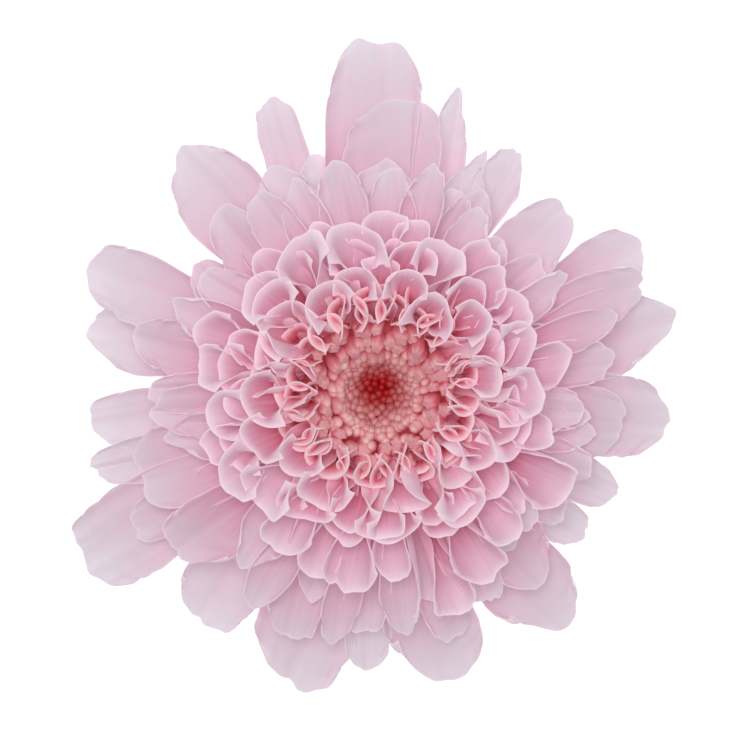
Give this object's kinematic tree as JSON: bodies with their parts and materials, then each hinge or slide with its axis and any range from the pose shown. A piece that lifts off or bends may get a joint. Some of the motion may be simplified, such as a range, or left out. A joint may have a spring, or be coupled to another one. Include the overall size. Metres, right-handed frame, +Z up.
{
  "type": "pompon chrysanthemum bloom",
  "caption": "One cut pompon chrysanthemum bloom, face up on its short stalk end: flat outer rays, cupped and quilled inner rays, and a disc of closed buds.",
  "frame": {"origin": "centre of the stalk's flat cut face, on the surface that the bloom stands on", "axes": "+Z up along the bloom's axis, out of the disc; +Y towards the top of the bloom as the picture shows it, +X to its right"},
  "size_m": [0.0726, 0.0786, 0.0224],
  "materials": {
    "green_tissue": "waxy green plant tissue with pale papery margins",
    "petal_pink": "soft satin petal, lilac pink at the tips and rose towards the middle",
    "bud_rose": "creamy rose buds over a deep red heart"
  },
  "bodies": {
    "root": {"stalk_and_bracts": "green_tissue", "ray_florets": "petal_pink", "disc_florets": "bud_rose"}
  },
  "joints": []
}
